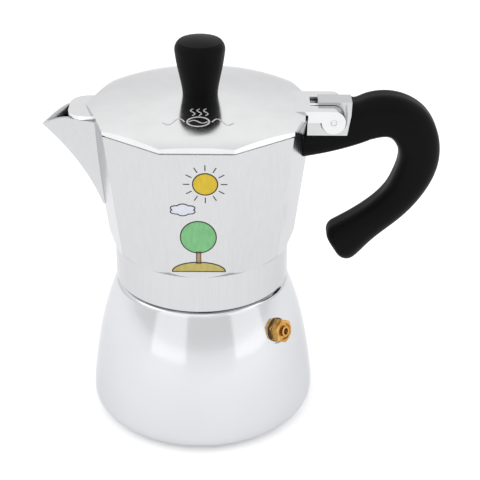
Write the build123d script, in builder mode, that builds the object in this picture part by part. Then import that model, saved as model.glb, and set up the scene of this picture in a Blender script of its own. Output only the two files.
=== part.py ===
"""Stovetop moka pot: each separate piece is its own solid, in millimetres, +Z up.

Origin: centre of the boiler's flat base. Spout towards -X, handle towards +X.
"""
import os
from math import cos, radians, sin

from build123d import *

os.makedirs("parts", exist_ok=True)

# Boiler
BASE_R = 41.0
SHOULDER_Z = 63.6
NECK_R = 32.6
NECK_BORE_R = 29.5
RIM_Z = 74.5

# Screw joint between boiler and collector
PITCH = 3.0
THREAD_H = 6.0
MALE_Z = 65.6
FEMALE_Z = MALE_Z + PITCH / 2
MALE_CREST_R = 33.7
FEMALE_BORE_R = 34.1
FEMALE_CREST_R = 33.0

# Collector
COLLAR_R = 37.5
COLLAR_BOTTOM_Z = 64.3
COLLAR_TOP_Z = 81.5
CHAMBER_TOP_Z = 139.7
CHAMBER_R0 = 39.8
CHAMBER_R1 = 46.95
FLOOR_Z = 84.4
WALL = 2.2

# Lid hinge
PIVOT_X = 54.6
PIVOT_Z = 139.0
PIN_R = 1.25
EAR_R = 4.9

# Lid
LID_R = 47.2
LID_RIM_Z = 140.35
LID_SEAT_Z = 139.8
LID_TOP_Z = 148.4

# Safety valve: axis square to the boiler wall
VALVE_AZ = 51.0
VALVE_TILT = 13.0
VALVE_R = 42.35
VALVE_Z = 49.3

VALVE_DIR = (
    sin(radians(VALVE_AZ)) * cos(radians(VALVE_TILT)),
    -cos(radians(VALVE_AZ)) * cos(radians(VALVE_TILT)),
    sin(radians(VALVE_TILT)),
)
VALVE_POS = (VALVE_R * sin(radians(VALVE_AZ)), -VALVE_R * cos(radians(VALVE_AZ)), VALVE_Z)
VALVE = Plane(origin=VALVE_POS, x_dir=(cos(radians(VALVE_AZ)), sin(radians(VALVE_AZ)), 0), z_dir=VALVE_DIR)


def chamber_r(z):
    """Circumradius of the ten-sided chamber at height z."""
    return CHAMBER_R0 + (CHAMBER_R1 - CHAMBER_R0) * (z - COLLAR_TOP_Z) / (CHAMBER_TOP_Z - COLLAR_TOP_Z)


def decagon_frustum(r0, z0, r1, z1, mode=Mode.ADD):
    """Ten-sided frustum with a vertex on +X, into the active part."""
    with BuildSketch(Plane.XY.offset(z0)) as low:
        RegularPolygon(r0, 10)
    with BuildSketch(Plane.XY.offset(z1)) as high:
        RegularPolygon(r1, 10)
    loft([low.sketch, high.sketch], ruled=True, mode=mode)


def turned(points, mode=Mode.ADD):
    """Body of revolution about Z from (r, z) points, into the active part."""
    with BuildSketch(Plane.XZ) as section:
        with BuildLine():
            Polyline(*points, close=True)
        make_face()
    revolve(section.sketch, axis=Axis.Z, mode=mode)


def turned_on_valve(points, mode=Mode.ADD):
    """Body of revolution about the valve's axis from (r, s) points."""
    side = Plane(origin=VALVE_POS, x_dir=VALVE.x_dir, z_dir=-VALVE.y_dir)
    with BuildSketch(side) as section:
        with BuildLine():
            Polyline(*points, close=True)
        make_face()
    revolve(section.sketch, axis=Axis(VALVE_POS, VALVE_DIR), mode=mode)


def thread(root_r, crest_r, z0, height):
    """One helical ridge of trapezoid section, into the active part."""
    with BuildLine() as path:
        Helix(pitch=PITCH, height=height, radius=root_r, center=(0, 0, z0))
    start = Plane(origin=path.line @ 0, x_dir=(1, 0, 0), z_dir=path.line % 0)
    depth = crest_r - root_r
    sink = 0.25 if depth > 0 else -0.25
    with BuildSketch(start) as ridge:
        with BuildLine():
            Polyline((-sink, -0.7), (depth, -0.3), (depth, 0.3), (-sink, 0.7), close=True)
        make_face()
    sweep(ridge.sketch, path=path.line, is_frenet=True)


def hole_rings(rings, step, r):
    """Concentric rings of round holes, into the active sketch."""
    Circle(r, mode=Mode.SUBTRACT)
    for ring in range(1, rings + 1):
        with PolarLocations(ring * step, 6 * ring):
            Circle(r, mode=Mode.SUBTRACT)


# Boiler: flared shell with a threaded neck and a spot-faced valve hole
with BuildPart() as boiler:
    with BuildSketch(Plane.XZ) as wall:
        with BuildLine():
            Line((0, 0), (BASE_R, 0))
            base = Spline((BASE_R, 0), (46.7, 1.9), (49.7, 7.8), tangents=[(1, 0), (-0.04, 1)])
            side = Spline(base @ 1, (48.4, 20), (45.75, 36), (41.6, 52), (37.9, 62), tangents=[(-0.04, 1), (-0.42, 1)])
            top = TangentArc(side @ 1, (36.2, SHOULDER_Z), tangent=(-0.42, 1))
            Polyline(
                top @ 1, (NECK_R, SHOULDER_Z), (NECK_R, RIM_Z - 0.5), (NECK_R - 0.5, RIM_Z),
                (NECK_BORE_R, RIM_Z), (NECK_BORE_R, 62.0), (34.9, 60.4),
            )
            inner = Spline((34.9, 60.4), (39.1, 51.5), (43.2, 36), (45.8, 20), (46.9, 9), tangents=[(0.42, -1), (0, -1)])
            floor_arc = TangentArc(inner @ 1, (42, 3.0), tangent=(0, -1))
            Line(floor_arc @ 1, (0, 3.0))
            Line((0, 3.0), (0, 0))
        make_face()
    revolve(axis=Axis.Z)
    thread(NECK_R, MALE_CREST_R, MALE_Z, THREAD_H)
    turned_on_valve([(0, -0.5), (6.0, -0.5), (6.0, 8), (0, 8)], mode=Mode.SUBTRACT)
    turned_on_valve([(0, -8), (4.0, -8), (4.0, 8), (0, 8)], mode=Mode.SUBTRACT)
boiler.part.label = "boiler"

# Safety valve
with BuildPart() as valve_washer:
    turned_on_valve([(4.05, -0.5), (5.2, -0.5), (5.2, 0), (4.05, 0)])
valve_washer.part.label = "valve_washer"

with BuildPart() as valve_body:
    with BuildSketch(VALVE):
        RegularPolygon(5.45, 6, rotation=90)
    extrude(amount=4.0)
    turned_on_valve([(4.5, 0.9), (7, 0.9), (7, 1.2), (4.5, 1.2)], mode=Mode.SUBTRACT)
    turned_on_valve([(4.6, 4.0), (6.0, 3.1), (6.0, 4.1), (4.6, 4.1)], mode=Mode.SUBTRACT)
    turned_on_valve([(2.4, 3.2), (3.7, 3.2), (3.7, 4.1), (2.4, 4.1)], mode=Mode.SUBTRACT)
    turned_on_valve([(0, -5.2), (3.98, -5.2), (3.98, 0), (2.4, 0.2), (2.4, 4.8), (0, 4.8)])
    turned_on_valve([(0, -6), (2.7, -6), (2.7, 2.2), (1.4, 2.2), (1.4, 5), (0, 5)], mode=Mode.SUBTRACT)
valve_body.part.label = "valve_body"

with BuildPart() as valve_seat:
    turned_on_valve([(1.2, -5.2), (2.68, -5.2), (2.68, -3.7), (1.5, -3.7), (1.2, -4.0)])
valve_seat.part.label = "valve_seat"

with BuildPart() as valve_piston:
    turned_on_valve([(0, -3.6), (2.2, -3.6), (2.2, -2.5), (0.9, -2.5), (0.9, 2.9), (0.6, 3.2), (0, 3.2)])
valve_piston.part.label = "valve_piston"

with BuildPart() as valve_spring:
    with BuildLine() as coil_path:
        Helix(pitch=1.0, height=4.0, radius=1.75, center=VALVE.offset(-2.15).origin, direction=VALVE_DIR)
    with BuildSketch(Plane(origin=coil_path.line @ 0, z_dir=coil_path.line % 0)) as wire:
        Circle(0.27)
    sweep(wire.sketch, path=coil_path.line, is_frenet=True)
valve_spring.part.label = "valve_spring"

# Coffee funnel: basket, cone and tube in one thin shell
with BuildPart() as funnel:
    turned([
        (32.0, 74.5), (32.0, 75.3), (26.8, 75.3), (26.8, 51.0), (24.5, 51.0), (4.7, 41.0), (4.7, 8.0),
        (5.5, 8.0), (5.5, 40.5), (25.0, 50.2), (27.6, 50.2), (27.6, 74.5),
    ])
funnel.part.label = "funnel"

with BuildPart() as funnel_plate:
    with BuildSketch(Plane.XY.offset(51.0)):
        Circle(26.75)
        hole_rings(5, 4.2, 0.7)
    extrude(amount=0.6)
funnel_plate.part.label = "funnel_plate"

# Seal under the collector
with BuildPart() as gasket:
    turned([(25.5, 75.4), (32.3, 75.4), (32.3, 79.7), (29.1, 79.7), (29.1, 78.9), (25.5, 78.9)])
gasket.part.label = "gasket"

with BuildPart() as filter_plate:
    with BuildSketch(Plane.XY.offset(78.95)):
        Circle(28.95)
        hole_rings(5, 4.2, 0.6)
    extrude(amount=0.7)
filter_plate.part.label = "filter_plate"


def spout_section(z, apex_x, root_x, radius):
    """V-shaped plan of the spout at height z, closed inside the chamber."""
    half = 0.42 * (apex_x + root_x)
    with BuildSketch(Plane.XY.offset(z)) as plan:
        with BuildLine():
            Polyline((root_x, -half), (root_x, half), (-apex_x, 0), close=True)
        make_face()
        fillet(plan.vertices().sort_by(Axis.X)[0], radius)
    return plan.sketch


# Collector: ten-sided chamber on a round collar, with spout, hinge block and handle lug
with BuildPart() as collector:
    # hinge block: base, knuckle and end wall, hollowed round the lid's ears
    with BuildSketch(Plane.YZ.offset(44.0)) as block:
        with BuildLine():
            Polyline((-9.2, 132.6), (9.2, 132.6), (9.2, 141.4), (4.5, 145.2), (-4.5, 145.2), (-9.2, 141.4), close=True)
        make_face()
    extrude(block.sketch, amount=18.4)
    with BuildSketch(Plane.XZ) as end_face:
        with BuildLine():
            Polyline((60.3, 132.0), (62.4, 145.3), (65, 145.3), (65, 132.0), close=True)
        make_face()
    extrude(end_face.sketch, amount=12, both=True, mode=Mode.SUBTRACT)
    for y in (-7.0, 7.0):
        with BuildSketch(Plane.XZ.offset(y)) as clear:
            with Locations((PIVOT_X, PIVOT_Z)):
                Circle(5.6)
            with Locations((51.8, 144.0)):
                Rectangle(16.8, 10.6)
        extrude(clear.sketch, amount=2.5, both=True, mode=Mode.SUBTRACT)
    with BuildSketch(Plane.XZ) as window:
        with Locations((45.9, 144.3)):
            Rectangle(5.0, 10.0)
    extrude(window.sketch, amount=10, both=True, mode=Mode.SUBTRACT)
    with BuildSketch(Plane.XZ) as lug:
        with Locations((49.5, 129.8)):
            Rectangle(13, 6)
    extrude(lug.sketch, amount=3.5, both=True)
    with BuildSketch(Plane.XZ) as pin_hole:
        with Locations((PIVOT_X, PIVOT_Z)):
            Circle(PIN_R)
    extrude(pin_hole.sketch, amount=12, both=True, mode=Mode.SUBTRACT)
    with BuildSketch(Plane.XY.offset(126.0)) as tapped:
        with Locations((50.5, 0)):
            Circle(1.9)
    extrude(tapped.sketch, amount=6.3, mode=Mode.SUBTRACT)
    # chamber, its corners turned down to the round collar
    decagon_frustum(CHAMBER_R0, COLLAR_TOP_Z, CHAMBER_R1, CHAMBER_TOP_Z)
    turned([(38.0, COLLAR_TOP_Z), (40.6, 84.6), (43, 84.6), (43, COLLAR_TOP_Z)], mode=Mode.SUBTRACT)
    turned([
        (FEMALE_BORE_R, COLLAR_BOTTOM_Z), (COLLAR_R - 0.6, COLLAR_BOTTOM_Z), (COLLAR_R, COLLAR_BOTTOM_Z + 0.6),
        (COLLAR_R, COLLAR_TOP_Z), (20, COLLAR_TOP_Z + 1), (20, 79.8), (32.6, 79.8), (32.6, 75.0), (FEMALE_BORE_R, 75.0),
    ])
    # V-shaped spout
    outer = [spout_section(96.5, 43.6, -38, 0.8), spout_section(126, 61.4, -38, 1.4), spout_section(142, 78.3, -38, 1.8)]
    loft(outer)
    decagon_frustum(
        chamber_r(FLOOR_Z) - WALL, FLOOR_Z, chamber_r(CHAMBER_TOP_Z + 4) - WALL, CHAMBER_TOP_Z + 4, mode=Mode.SUBTRACT
    )
    inner = [spout_section(98, 39.9, -34, 0.6), spout_section(126, 57.5, -34, 0.8), spout_section(142, 74.4, -34, 0.8)]
    loft(inner, mode=Mode.SUBTRACT)
    with BuildSketch(Plane.XZ) as rim_cut:
        with BuildLine():
            Line((-30, CHAMBER_TOP_Z), (-52.5, CHAMBER_TOP_Z))
            dip = Spline((-52.5, CHAMBER_TOP_Z), (-58, 138.3), (-62, 136.0), (-69, 131.0))
            Polyline(dip @ 1, (-85, 131.0), (-85, 160), (-30, 160), (-30, CHAMBER_TOP_Z))
        make_face()
    extrude(rim_cut.sketch, amount=40, both=True, mode=Mode.SUBTRACT)
    # domed underside and the column's seat
    turned([(0, 79.8), (26.0, 79.8), (7.0, 82.4), (5.0, 82.4), (5.0, 85.0), (0, 85.0)], mode=Mode.SUBTRACT)
    thread(FEMALE_BORE_R, FEMALE_CREST_R, FEMALE_Z, THREAD_H)
collector.part.label = "collector"

with BuildPart() as riser_column:
    turned([
        (3.4, 81.8), (4.98, 81.8), (4.98, 84.45), (7.4, 84.45), (5.4, 90.0), (4.9, 123.5), (3.6, 126.0), (0, 126.8),
        (0, 124.6), (3.2, 123.0), (3.4, 90.0),
    ])
    for turn in (0, 180):
        with BuildSketch(Plane.YZ) as slot:
            with Locations((0, 119.5)):
                SlotOverall(6.5, 3.2, rotation=90)
        extrude(slot.sketch, amount=8 if turn else -8, mode=Mode.SUBTRACT)
riser_column.part.label = "riser_column"

# Handle: stations as (x, z, tangent x, tangent z, half height)
ROOT = [
    (40.0, 127.8, 0.98, 0.15, 7.0),
    (51.0, 129.9, 0.98, 0.2, 7.0),
    (60.0, 132.4, 0.95, 0.3, 7.0),
    (68.0, 135.4, 0.94, 0.33, 7.0),
]
GRIP = [
    (61.1, 135.3, 0.988, -0.155, 9.8),
    (70.5, 137.7, 0.98, 0.2, 9.2),
    (78.0, 138.6, 1.0, -0.05, 9.2),
    (86.3, 134.7, 0.79, -0.615, 9.2),
    (91.7, 120.5, 0.085, -1.0, 8.5),
    (88.4, 108.3, -0.36, -0.93, 7.8),
    (83.2, 99.9, -0.66, -0.75, 7.1),
    (76.0, 92.6, -0.73, -0.685, 6.9),
    (67.0, 85.0, -0.79, -0.61, 7.7),
    (60.9, 79.9, -0.85, -0.53, 8.8),
]
TIP_R = 4.6


def bar(stations, corner):
    """Rounded bar lofted through (x, z, tangent x, tangent z, half height) stations."""
    sections = []
    for x, z, tx, tz, half in stations:
        with BuildSketch(Plane(origin=(x, 0, z), x_dir=(-tz, 0, tx), z_dir=(tx, 0, tz))) as station:
            RectangleRounded(2 * half, 17.0, corner)
        sections.append(station.sketch)
    loft(sections)


def rounded_end(x, z, tx, tz, half, corner, depth):
    """Domed end beyond a station, each section drawn in round a quarter circle."""
    sections = []
    for turn in range(0, 91, 15):
        ahead = depth * sin(radians(turn))
        inset = depth * (1 - cos(radians(turn)))
        plane = Plane(origin=(x + tx * ahead, 0, z + tz * ahead), x_dir=(-tz, 0, tx), z_dir=(tx, 0, tz))
        with BuildSketch(plane) as station:
            RectangleRounded(2 * (half - inset), 17.0 - 2 * inset, corner - inset)
        sections.append(station.sketch)
    loft(sections)


with BuildPart() as handle:
    bar(GRIP, 6.5)
    rounded_end(*GRIP[-1], 6.5, TIP_R)
    bar(ROOT, 4.5)
    with BuildSketch(Plane.XZ) as seat:
        with BuildLine():
            Polyline((30, 132.5), (60.5, 132.5), (62.6, 145.5), (62.6, 150), (30, 150), close=True)
        make_face()
    extrude(seat.sketch, amount=10, both=True, mode=Mode.SUBTRACT)
    decagon_frustum(chamber_r(110) + 0.12, 110, chamber_r(140) + 0.12, 140, mode=Mode.SUBTRACT)
    with BuildSketch(Plane.XY.offset(126.6)) as pocket:
        with Locations((48.0, 0)):
            Rectangle(16.4, 7.3)
    extrude(pocket.sketch, amount=6.5, mode=Mode.SUBTRACT)
    with BuildSketch(Plane.XY.offset(115)) as screw_way:
        with Locations((50.5, 0)):
            Circle(2.1)
    extrude(screw_way.sketch, amount=12, mode=Mode.SUBTRACT)
    with BuildSketch(Plane.XY.offset(115)) as head_way:
        with Locations((50.5, 0)):
            Circle(3.4)
    extrude(head_way.sketch, amount=9.6, mode=Mode.SUBTRACT)
handle.part.label = "handle"

with BuildPart() as handle_screw:
    with BuildSketch(Plane.XY.offset(123.1)) as head:
        with Locations((50.5, 0)):
            Circle(3.2)
    extrude(head.sketch, amount=1.5)
    with BuildSketch(Plane.XY.offset(124.6)) as shank:
        with Locations((50.5, 0)):
            Circle(1.88)
    extrude(shank.sketch, amount=7.2)
    with BuildSketch(Plane.XY.offset(123.1)) as drive:
        with Locations((50.5, 0)):
            Rectangle(4.6, 0.9)
            Rectangle(0.9, 4.6)
    extrude(drive.sketch, amount=0.8, mode=Mode.SUBTRACT)
handle_screw.part.label = "handle_screw"

# Lid: shallow ten-sided shell with a spout tongue and a forked hinge tab
with BuildPart() as lid:
    # ten-sided rim, its top turned to a shallow dome
    decagon_frustum(LID_R, LID_RIM_Z, LID_R, LID_TOP_Z)
    decagon_frustum(LID_R - 1.4, LID_SEAT_Z, LID_R - 1.4, LID_RIM_Z + 0.5)
    with BuildSketch(Plane.XZ) as above_dome:
        with BuildLine():
            Polyline((0, LID_TOP_Z), (0, 155), (52, 155), (52, 140.4))
            Spline((52, 140.4), (LID_R, 142.0), (45.1, 142.7), (36, 144.6), (22, 146.8), (7.4, LID_TOP_Z))
            Line((7.4, LID_TOP_Z), (0, LID_TOP_Z))
        make_face()
    revolve(above_dome.sketch, axis=Axis.Z, mode=Mode.SUBTRACT)
    with BuildSketch(Plane.XY.offset(LID_SEAT_Z)) as tongue:
        with Locations((-47.1, 0)):
            Rectangle(14.2, 23)
        fillet(tongue.vertices().group_by(Axis.X)[0], 7.5)
    extrude(tongue.sketch, amount=1.6)
    with BuildSketch(Plane.XZ) as plate:
        with Locations((44.3, 143.1)):
            Rectangle(20.6, 1.6)
        with Locations((PIVOT_X, PIVOT_Z)):
            Circle(EAR_R)
            Circle(3.4, mode=Mode.SUBTRACT)
            with Locations((-3.0, 0.0), (0.0, -3.0)):
                Rectangle(6.0, 10.0, mode=Mode.SUBTRACT)
        with Locations((44.3, 143.1)):
            Rectangle(20.6, 1.6)
    extrude(plate.sketch, amount=11.3, both=True)
    for y in (-10.4, 10.4):
        with BuildSketch(Plane.XZ.offset(y)) as flange:
            with Locations((49.35, 141.45)):
                Rectangle(10.5, 4.9)
            with Locations((PIVOT_X, PIVOT_Z)):
                Circle(EAR_R)
        extrude(flange.sketch, amount=0.9, both=True)
    turned([(0, LID_SEAT_Z - 1), (42.6, LID_SEAT_Z - 1), (42.6, 141.2), (6.0, 146.6), (0, 146.6)], mode=Mode.SUBTRACT)
    with BuildSketch(Plane.XY.offset(130)) as slot:
        with Locations((55.2, 0)):
            Rectangle(20, 10)
    extrude(slot.sketch, amount=20, mode=Mode.SUBTRACT)
    with BuildSketch(Plane.XY.offset(140)) as knob_hole:
        Circle(1.7)
    extrude(knob_hole.sketch, amount=12, mode=Mode.SUBTRACT)
    with BuildSketch(Plane.XZ) as ear_holes:
        with Locations((PIVOT_X, PIVOT_Z)):
            Circle(PIN_R + 0.06)
    extrude(ear_holes.sketch, amount=12, both=True, mode=Mode.SUBTRACT)
lid.part.label = "lid"

with BuildPart() as hinge_pin:
    with BuildSketch(Plane.XZ):
        with Locations((PIVOT_X, PIVOT_Z)):
            Circle(PIN_R)
    extrude(amount=11.5, both=True)
    chamfer(hinge_pin.edges().filter_by(GeomType.CIRCLE), 0.2)
hinge_pin.part.label = "hinge_pin"

# Knob and its screw
with BuildPart() as knob:
    with BuildSketch(Plane.XZ):
        with BuildLine():
            flank = Spline((7.3, LID_TOP_Z), (8.9, 157.0), (10.35, 166.0), tangents=[(0.12, 1), (0.1, 1)])
            TangentArc(flank @ 1, (8.8, 169.8), tangent=(0.1, 1))
            TangentArc((0, 171.0), (8.8, 169.8), tangent=(1, 0))
            Polyline((0, 171.0), (0, 158.2), (3.5, 158.2), (3.5, LID_TOP_Z), (7.3, LID_TOP_Z))
        make_face()
    revolve(axis=Axis.Z)
knob.part.label = "knob"

with BuildPart() as knob_insert:
    turned([(1.5, LID_TOP_Z), (3.48, LID_TOP_Z), (3.48, 158.1), (1.5, 158.1)])
knob_insert.part.label = "knob_insert"

with BuildPart() as knob_washer:
    turned([(1.7, 145.8), (4.8, 145.8), (4.8, 146.6), (1.7, 146.6)])
knob_washer.part.label = "knob_washer"

with BuildPart() as knob_screw:
    turned([(0, 143.9), (2.2, 143.9), (2.9, 144.5), (2.9, 145.8), (1.48, 145.8), (1.48, 156.5), (0, 156.5)])
    with BuildSketch(Plane.XY.offset(143.8)) as drive:
        Rectangle(4.4, 0.8)
        Rectangle(0.8, 4.4)
    extrude(drive.sketch, amount=1.0, mode=Mode.SUBTRACT)
knob_screw.part.label = "knob_screw"

PIECES = [
    boiler, valve_washer, valve_body, valve_seat, valve_piston, valve_spring, funnel, funnel_plate, gasket,
    filter_plate, collector, riser_column, handle, handle_screw, lid, hinge_pin, knob, knob_insert, knob_washer,
    knob_screw,
]
for piece in PIECES:
    export_step(piece.part, f"parts/{piece.part.label}.step")
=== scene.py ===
"""Looks of the moka pot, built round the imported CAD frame. Everything is in metres."""
import math

import bmesh
import bpy
from mathutils import Matrix, Vector
from mathutils.bvhtree import BVHTree


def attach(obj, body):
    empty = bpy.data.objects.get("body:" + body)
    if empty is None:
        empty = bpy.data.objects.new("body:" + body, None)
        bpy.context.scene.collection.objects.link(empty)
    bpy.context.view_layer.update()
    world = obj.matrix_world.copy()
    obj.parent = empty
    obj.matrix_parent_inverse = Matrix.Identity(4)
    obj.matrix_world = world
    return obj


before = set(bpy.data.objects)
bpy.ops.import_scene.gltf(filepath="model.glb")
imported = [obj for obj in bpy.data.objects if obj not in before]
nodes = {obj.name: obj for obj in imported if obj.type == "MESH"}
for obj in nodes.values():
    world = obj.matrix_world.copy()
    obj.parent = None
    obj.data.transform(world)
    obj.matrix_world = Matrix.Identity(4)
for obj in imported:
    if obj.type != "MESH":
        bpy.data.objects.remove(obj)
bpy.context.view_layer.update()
MM = 0.001

# Camera: elevation in degrees, the rest in metres and millimetres of lens
CAMERA_ELEVATION, CAMERA_DISTANCE, CAMERA_ROLL = 28.495, 0.556, 0.33
CAMERA_TARGET = (0.0167, 0, 0.07859)
LENS_MM, SENSOR_MM = 95.42, 36.0

# Studio: (height of direction, brightness) stops of the surround, and the floor
SKY_LEVELS = ((0.0, 1.0), (0.02, 1.0), (0.14, 0.95), (0.70, 1.17), (1.0, 0.85))
FLOOR_RADIUS, FLOOR_GAP, FLOOR_GLOW = 4.0, 0.0002, 0.17

# Lights: name, azimuth, height, distance, width, tall, power, point aimed at
SOFTBOXES = (
    ("key_top", -25, 1.3, 0.5, 1.3, 1.1, 1.8, (0, 0, 0.07)),
    ("side_left", -80, 0.45, 0.42, 0.25, 0.25, 0.2, (-0.16, -0.07, 0)),
    ("side_right", 80, 0.45, 0.42, 0.25, 0.25, 0.12, (0.16, -0.07, 0)),
    ("front_left", -33.6, 0.16, 0.30, 0.20, 0.30, 0.060, (0, 0, 0.16)),
    ("front_right", 53, 0.16, 0.30, 0.20, 0.30, 0.060, (0, 0, 0.16)),
)

# Tint of a metal seen edge on
EDGE_TINT = (0.88, 0.88, 0.89, 1.0)


# ---------------------------------------------------------------- camera and studio
def make_camera():
    """Camera in front of the pot, looking down at it."""
    data = bpy.data.cameras.new("camera")
    data.sensor_width = SENSOR_MM
    data.lens = LENS_MM
    data.clip_start = 0.01
    data.clip_end = 20.0
    cam = bpy.data.objects.new("camera", data)
    bpy.context.scene.collection.objects.link(cam)
    elevation = math.radians(CAMERA_ELEVATION)
    back = Vector((0, -math.cos(elevation), math.sin(elevation)))
    cam.location = Vector(CAMERA_TARGET) + CAMERA_DISTANCE * back
    tilt = Matrix.Rotation(math.pi / 2 - elevation, 4, "X")
    roll = Matrix.Rotation(math.radians(CAMERA_ROLL), 4, "Z")
    cam.rotation_euler = (tilt @ roll).to_euler()
    bpy.context.scene.camera = cam


def softbox(name, azimuth, height, distance, width, tall, power, aim):
    """Area light at an azimuth from -Y (positive towards +X), facing aim."""
    data = bpy.data.lights.new(name, "AREA")
    data.shape = "RECTANGLE"
    data.size, data.size_y = width, tall
    data.energy = power
    lamp = bpy.data.objects.new(name, data)
    bpy.context.scene.collection.objects.link(lamp)
    a = math.radians(azimuth)
    lamp.location = (distance * math.sin(a), -distance * math.cos(a), height)
    lamp.rotation_euler = (Vector(aim) - lamp.location).to_track_quat("-Z", "Y").to_euler()


def make_floor():
    """Large round floor a hair below the pot's flat base, glowing faintly so that it stays white."""
    bm = bmesh.new()
    bmesh.ops.create_circle(bm, cap_ends=True, segments=96, radius=FLOOR_RADIUS)
    mesh = bpy.data.meshes.new("floor")
    bm.to_mesh(mesh)
    bm.free()
    floor = bpy.data.objects.new("floor", mesh)
    floor.location.z = -FLOOR_GAP
    bpy.context.scene.collection.objects.link(floor)
    mat, shader, tree = new_material("studio_floor")
    noise = texture(tree, "ShaderNodeTexNoise", Scale=3.0, Detail=3.0)
    ramp(tree, noise, shader.inputs["Base Color"], (0.93, 0.93, 0.935), (0.96, 0.96, 0.962))
    shader.inputs["Roughness"].default_value = 0.85
    shader.inputs["Emission Strength"].default_value = FLOOR_GLOW
    shader.inputs["Specular IOR Level"].default_value = 0.1
    mesh.materials.append(mat)


def make_world():
    """White surround: dimmer just above the horizon and straight overhead."""
    world = bpy.data.worlds.new("studio")
    world.use_nodes = True
    bpy.context.scene.world = world
    tree = world.node_tree
    sky = tree.nodes["Background"]
    direction = tree.nodes.new("ShaderNodeTexCoord")
    split = tree.nodes.new("ShaderNodeSeparateXYZ")
    rise = tree.nodes.new("ShaderNodeValToRGB")
    stops = rise.color_ramp.elements
    for height, level in SKY_LEVELS[1:-1]:
        stops.new(height).color = (level, level, level, 1)
    for end, (height, level) in ((0, SKY_LEVELS[0]), (-1, SKY_LEVELS[-1])):
        stops[end].color = (level, level, level, 1)
    tree.links.new(direction.outputs["Generated"], split.inputs["Vector"])
    tree.links.new(split.outputs["Z"], rise.inputs["Fac"])
    tree.links.new(rise.outputs["Color"], sky.inputs["Color"])


# ---------------------------------------------------------------- material helpers
def new_material(name):
    """Material, its principled shader and its node tree."""
    mat = bpy.data.materials.new(name)
    mat.use_nodes = True
    return mat, mat.node_tree.nodes["Principled BSDF"], mat.node_tree


def coordinates(tree, scale=(1, 1, 1)):
    """Object coordinates, stretched."""
    place = tree.nodes.new("ShaderNodeTexCoord")
    stretch = tree.nodes.new("ShaderNodeMapping")
    stretch.inputs["Scale"].default_value = scale
    tree.links.new(place.outputs["Object"], stretch.inputs["Vector"])
    return stretch.outputs["Vector"]


def texture(tree, kind, stretch=(1, 1, 1), **values):
    """Procedural texture node on stretched object coordinates."""
    node = tree.nodes.new(kind)
    tree.links.new(coordinates(tree, stretch), node.inputs["Vector"])
    for key, value in values.items():
        node.inputs[key].default_value = value
    return node


def factor(node):
    """The texture's single-number output."""
    for name in ("Fac", "Distance"):
        if name in node.outputs:
            return node.outputs[name]
    return node.outputs[0]


def ramp(tree, node, socket, low, high, start=0.3, end=0.7):
    """Maps a texture's factor to a colour or number between low and high."""
    if isinstance(low, tuple):
        node_ramp = tree.nodes.new("ShaderNodeValToRGB")
        node_ramp.color_ramp.elements[0].position = start
        node_ramp.color_ramp.elements[1].position = end
        node_ramp.color_ramp.elements[0].color = (*low, 1)
        node_ramp.color_ramp.elements[1].color = (*high, 1)
        tree.links.new(factor(node), node_ramp.inputs["Fac"])
        tree.links.new(node_ramp.outputs["Color"], socket)
        return
    spread = tree.nodes.new("ShaderNodeMapRange")
    spread.inputs["From Min"].default_value = start
    spread.inputs["From Max"].default_value = end
    spread.inputs["To Min"].default_value = low
    spread.inputs["To Max"].default_value = high
    tree.links.new(factor(node), spread.inputs["Value"])
    tree.links.new(spread.outputs["Result"], socket)


def bump(tree, shader, layers):
    """Chains bump layers (texture node, strength, distance in metres) into the shader."""
    below = None
    for node, strength, distance in layers:
        bumper = tree.nodes.new("ShaderNodeBump")
        bumper.inputs["Strength"].default_value = strength
        bumper.inputs["Distance"].default_value = distance
        tree.links.new(factor(node), bumper.inputs["Height"])
        if below is not None:
            tree.links.new(below, bumper.inputs["Normal"])
        below = bumper.outputs["Normal"]
    tree.links.new(below, shader.inputs["Normal"])


# ---------------------------------------------------------------- materials
def polished_aluminium():
    """Mirror-polished casting: faint turning rings and a few soft hand marks."""
    mat, shader, tree = new_material("polished_aluminium")
    cloud = texture(tree, "ShaderNodeTexNoise", Scale=28.0, Detail=5.0)
    rings = texture(tree, "ShaderNodeTexNoise", (0.02, 0.02, 60.0), Scale=40.0, Detail=3.0)
    ripple = texture(tree, "ShaderNodeTexNoise", Scale=22.0, Detail=1.0)
    ramp(tree, cloud, shader.inputs["Base Color"], (0.605, 0.611, 0.628), (0.630, 0.636, 0.651))
    ramp(tree, rings, shader.inputs["Roughness"], 0.11, 0.16)
    shader.inputs["Metallic"].default_value = 1.0
    shader.inputs["Specular Tint"].default_value = EDGE_TINT
    bump(tree, shader, [(ripple, 0.25, 0.00008), (rings, 0.04, 0.00001)])
    return mat


def satin_aluminium(name, low, high, rough, grain=(90.0, 90.0, 2.0), strength=0.10):
    """Satin casting, brushed along one direction, with slight clouding."""
    mat, shader, tree = new_material(name)
    brushed = texture(tree, "ShaderNodeTexNoise", grain, Scale=14.0, Detail=5.0, Roughness=0.6)
    cloud = texture(tree, "ShaderNodeTexNoise", Scale=55.0, Detail=4.0)
    ramp(tree, brushed, shader.inputs["Base Color"], low, high)
    ramp(tree, brushed, shader.inputs["Roughness"], rough[0], rough[1])
    shader.inputs["Metallic"].default_value = 1.0
    shader.inputs["Specular Tint"].default_value = EDGE_TINT
    bump(tree, shader, [(cloud, 0.08, 0.00006), (brushed, strength, 0.00002)])
    return mat


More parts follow.
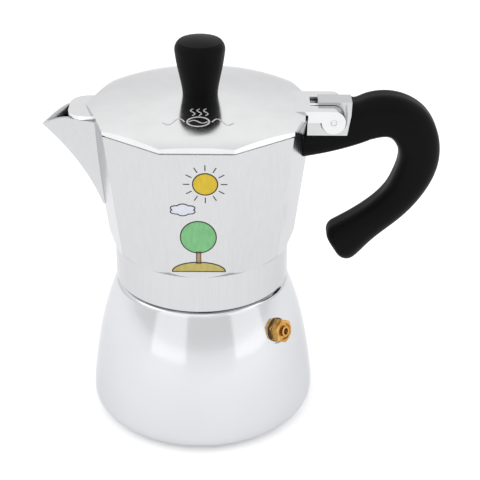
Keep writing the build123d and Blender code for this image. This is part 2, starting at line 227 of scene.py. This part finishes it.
def black_plastic():
    """Soft-touch black plastic with a very fine moulded texture."""
    mat, shader, tree = new_material("black_plastic")
    fine = texture(tree, "ShaderNodeTexNoise", Scale=2600.0, Detail=2.0)
    patch = texture(tree, "ShaderNodeTexNoise", Scale=45.0, Detail=4.0)
    ramp(tree, patch, shader.inputs["Base Color"], (0.0012, 0.0013, 0.0017), (0.0022, 0.0023, 0.0028))
    ramp(tree, patch, shader.inputs["Roughness"], 0.42, 0.54)
    shader.inputs["Specular IOR Level"].default_value = 0.075
    shader.inputs["Sheen Weight"].default_value = 0.008
    shader.inputs["Sheen Roughness"].default_value = 0.4
    bump(tree, shader, [(fine, 0.16, 0.00003)])
    return mat


def brass():
    """Turned brass with browner, rougher patches scattered at random."""
    mat, shader, tree = new_material("brass")
    patch = texture(tree, "ShaderNodeTexNoise", Scale=420.0, Detail=5.0)
    turning = texture(tree, "ShaderNodeTexNoise", Scale=1500.0, Detail=2.0)
    ramp(tree, patch, shader.inputs["Base Color"], (0.40, 0.21, 0.050), (0.70, 0.42, 0.125))
    ramp(tree, patch, shader.inputs["Roughness"], 0.38, 0.22)
    shader.inputs["Metallic"].default_value = 1.0
    bump(tree, shader, [(turning, 0.18, 0.00003)])
    return mat


def steel():
    """Bright stainless steel with fine drawn lines."""
    mat, shader, tree = new_material("steel")
    lines = texture(tree, "ShaderNodeTexNoise", (300.0, 20.0, 300.0), Scale=12.0, Detail=4.0)
    ramp(tree, lines, shader.inputs["Base Color"], (0.60, 0.61, 0.63), (0.74, 0.74, 0.75))
    ramp(tree, lines, shader.inputs["Roughness"], 0.16, 0.28)
    shader.inputs["Metallic"].default_value = 1.0
    bump(tree, shader, [(lines, 0.1, 0.00002)])
    return mat


def rubber():
    """Off-white silicone seal with a dusty bloom."""
    mat, shader, tree = new_material("rubber")
    bloom = texture(tree, "ShaderNodeTexNoise", Scale=160.0, Detail=5.0)
    ramp(tree, bloom, shader.inputs["Base Color"], (0.70, 0.68, 0.62), (0.80, 0.79, 0.74))
    ramp(tree, bloom, shader.inputs["Roughness"], 0.45, 0.62)
    shader.inputs["Subsurface Weight"].default_value = 0.08
    shader.inputs["Subsurface Radius"].default_value = (0.002, 0.0015, 0.001)
    bump(tree, shader, [(bloom, 0.15, 0.00005)])
    return mat


def fibre():
    """Pressed dark brown fibre washer."""
    mat, shader, tree = new_material("fibre")
    strands = texture(tree, "ShaderNodeTexNoise", (1, 1, 6), Scale=900.0, Detail=5.0)
    ramp(tree, strands, shader.inputs["Base Color"], (0.050, 0.030, 0.020), (0.090, 0.052, 0.035))
    ramp(tree, strands, shader.inputs["Roughness"], 0.6, 0.8)
    bump(tree, shader, [(strands, 0.4, 0.00005)])
    return mat


def ink(name, low, high):
    """Fired print ink: a slightly uneven film with a low gloss."""
    mat, shader, tree = new_material(name)
    mottle = texture(tree, "ShaderNodeTexNoise", (1, 1, 0.35), Scale=900.0, Detail=3.0)
    ramp(tree, mottle, shader.inputs["Base Color"], low, high)
    ramp(tree, mottle, shader.inputs["Roughness"], 0.38, 0.5)
    shader.inputs["Specular IOR Level"].default_value = 0.35
    bump(tree, shader, [(mottle, 0.08, 0.00002)])
    return mat


NODE_LOOKS = {
    "boiler": "polished_aluminium",
    "collector": "satin_aluminium", "riser_column": "satin_aluminium", "funnel": "satin_aluminium",
    "funnel_plate": "satin_aluminium", "filter_plate": "satin_aluminium",
    "lid": "lid_aluminium",
    "handle": "black_plastic", "knob": "black_plastic",
    "valve_body": "brass", "valve_seat": "brass", "knob_insert": "brass",
    "valve_piston": "steel", "valve_spring": "steel", "handle_screw": "steel", "hinge_pin": "steel",
    "knob_washer": "steel", "knob_screw": "steel",
    "gasket": "rubber", "valve_washer": "fibre",
}


def finish_nodes():
    """Gives each CAD node its detailed material."""
    looks = {
        "polished_aluminium": polished_aluminium(),
        "satin_aluminium": satin_aluminium(
            "satin_aluminium", (0.535, 0.538, 0.545), (0.572, 0.575, 0.582), (0.15, 0.22)
        ),
        "lid_aluminium": satin_aluminium(
            "lid_aluminium", (0.690, 0.693, 0.698), (0.725, 0.728, 0.733), (0.10, 0.16), (8.0, 8.0, 8.0), 0.04
        ),
        "black_plastic": black_plastic(),
        "brass": brass(),
        "steel": steel(),
        "rubber": rubber(),
        "fibre": fibre(),
    }
    for name, look in NODE_LOOKS.items():
        for place in nodes[name].material_slots:
            place.link = "OBJECT"
            place.material = looks[look]


# ---------------------------------------------------------------- printed motif on the front facet
# Heights and circumradii of the chamber's ends, in mm
COLLAR_TOP, CHAMBER_TOP = 81.5, 139.7
RADIUS_LOW, RADIUS_HIGH = 39.8, 46.95

# Printed line widths and film thicknesses, in mm
LINE, CLOUD_LINE, TRUNK_LINE = 0.46, 0.42, 0.34
LOWER_FILM, UPPER_FILM, OUTLINE_FILM, ETCH_FILM = 0.03, 0.05, 0.08, 0.02


def on_facet(x, z, proud):
    """Point on the facet that faces -Y, proud of it by so much (all in mm), in metres."""
    radius = RADIUS_LOW + (RADIUS_HIGH - RADIUS_LOW) * (z - COLLAR_TOP) / (CHAMBER_TOP - COLLAR_TOP)
    return Vector((x, -radius * math.cos(math.pi / 10) - proud, z)) * MM


def film(name, shapes, low, high, top, surface=on_facet, ride="collector"):
    """Thin solid film: each shape is a closed outline, standing proud by top mm."""
    bm = bmesh.new()
    for outline in shapes:
        front = [bm.verts.new(surface(u, v, top)) for u, v in outline]
        back = [bm.verts.new(surface(u, v, -0.02)) for u, v in outline]
        bm.faces.new(front)
        bm.faces.new(back[::-1])
        for i in range(len(front)):
            j = (i + 1) % len(front)
            bm.faces.new((front[i], back[i], back[j], front[j]))
    bmesh.ops.recalc_face_normals(bm, faces=bm.faces)
    mesh = bpy.data.meshes.new(name)
    bm.to_mesh(mesh)
    bm.free()
    piece = bpy.data.objects.new(name, mesh)
    bpy.context.scene.collection.objects.link(piece)
    mesh.materials.append(ink(name, low, high))
    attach(piece, ride)
    return piece


def ellipse(cx, cz, rx, rz, count):
    """Closed outline of an ellipse."""
    turn = [2 * math.pi * i / count for i in range(count)]
    return [(cx + rx * math.cos(t), cz + rz * math.sin(t)) for t in turn]


def blob(cx, cz, rx, rz, lobes, depth, count=96):
    """Round outline with soft lobes, for a cloud."""
    points = []
    for i in range(count):
        t = 2 * math.pi * i / count
        swell = 1 + depth * (abs(math.sin(lobes * t / 2)) - 0.5)
        points.append((cx + rx * swell * math.cos(t), cz + rz * swell * math.sin(t)))
    return points


def stroke(points, width, closed=False):
    """Quads along a line, as separate closed shapes that just overlap."""
    pairs = list(zip(points, points[1:] + points[:1])) if closed else list(zip(points, points[1:]))
    quads = []
    for a, b in pairs:
        a, b = Vector(a), Vector(b)
        along = (b - a).normalized() * width * 0.22
        side = Vector((-along.y, along.x)).normalized() * width / 2
        corners = (a - along - side, b + along - side, b + along + side, a - along + side)
        quads.append([tuple(p) for p in corners])
    return quads


def printed_scene():
    """Generic garden motif on the front facet: even-rayed sun, cloud, round tree, low mound."""
    sun, sun_radius, ray_start, ray_end, ray_count = Vector((3.0, 126.5)), 4.9, 6.2, 8.6, 12
    rays = []
    for i in range(ray_count):
        angle = 2 * math.pi * i / ray_count
        way = Vector((math.cos(angle), math.sin(angle)))
        rays += stroke([tuple(sun + way * ray_start), tuple(sun + way * ray_end)], LINE)
    disc = ellipse(sun.x, sun.y, sun_radius, sun_radius, 72)
    cloud = blob(-6.0, 114.6, 4.8, 2.5, 6, 0.22)
    tree = ellipse(0.0, 101.5, 7.2, 7.6, 96)
    mound = [(x, z) for x, z in ellipse(0.0, 84.6, 10.8, 4.6, 120) if z > 84.5]
    trunk = [(-0.9, 88.6), (0.9, 88.6), (0.9, 94.4), (-0.9, 94.4)]
    film("print_rays", rays, (0.028, 0.028, 0.030), (0.046, 0.046, 0.048), LOWER_FILM)
    film("print_sun", [disc], (0.50, 0.345, 0.012), (0.57, 0.41, 0.022), LOWER_FILM)
    film("print_cloud", [cloud], (0.53, 0.56, 0.62), (0.58, 0.61, 0.66), LOWER_FILM)
    film("print_trunk", [trunk], (0.30, 0.17, 0.070), (0.38, 0.22, 0.095), LOWER_FILM)
    film("print_mound", [mound], (0.36, 0.30, 0.080), (0.44, 0.37, 0.110), UPPER_FILM)
    film("print_tree", [tree], (0.130, 0.36, 0.150), (0.175, 0.43, 0.190), UPPER_FILM)
    lines = stroke(disc, LINE, True) + stroke(cloud, CLOUD_LINE, True) + stroke(tree, LINE, True)
    lines += stroke(mound, LINE, True) + stroke(trunk, TRUNK_LINE, True)
    film("print_outline", lines, (0.018, 0.018, 0.020), (0.034, 0.034, 0.036), OUTLINE_FILM)


# ---------------------------------------------------------------- generic mark on the lid
# Positions on the lid, in mm
MARK_Y, STEAM_Y = -27.0, -22.4


def lid_mark():
    """A bean between two flourishes, lightly etched on the lid's front facet."""
    tree = BVHTree.FromPolygons([v.co for v in nodes["lid"].data.vertices],
                                [tuple(p.vertices) for p in nodes["lid"].data.polygons])

    def on_lid(x, y, proud):
        hit = tree.ray_cast(Vector((x, y, 300)) * MM, Vector((0, 0, -1)))[0]
        return hit + Vector((0, 0, proud * MM))

    def swirl(side):
        points = []
        for i in range(41):
            t = i / 40
            points.append((side * (5.5 + 8.5 * t), MARK_Y + 2.6 * math.sin(2 * math.pi * t) * (1 - 0.4 * t)))
        return points

    turns = [2 * math.pi * i / 48 for i in range(48)]
    bean = [(4.6 * math.cos(t) * 0.95, MARK_Y + 3.4 * math.sin(t)) for t in turns]
    seam = [(-3.6 + 7.2 * i / 24, MARK_Y + 0.95 * math.sin(2 * math.pi * i / 24)) for i in range(25)]
    lines = stroke(bean, 0.7, True) + stroke(seam, 0.6) + stroke(swirl(1), 0.6) + stroke(swirl(-1), 0.6)
    for x in (-2.4, 0.2, 2.8):
        wisp = [(x + 0.9 * math.sin(6.3 * i / 20), STEAM_Y + 5.2 * i / 20) for i in range(21)]
        lines += stroke(wisp, 0.5)
    film("etched_mark", lines, (0.40, 0.40, 0.41), (0.50, 0.50, 0.51), ETCH_FILM, on_lid,
         ride="lid")


make_camera()
make_world()
make_floor()
for light in SOFTBOXES:
    softbox(*light)
finish_nodes()
printed_scene()
lid_mark()

bpy.context.scene.view_settings.view_transform = "Standard"
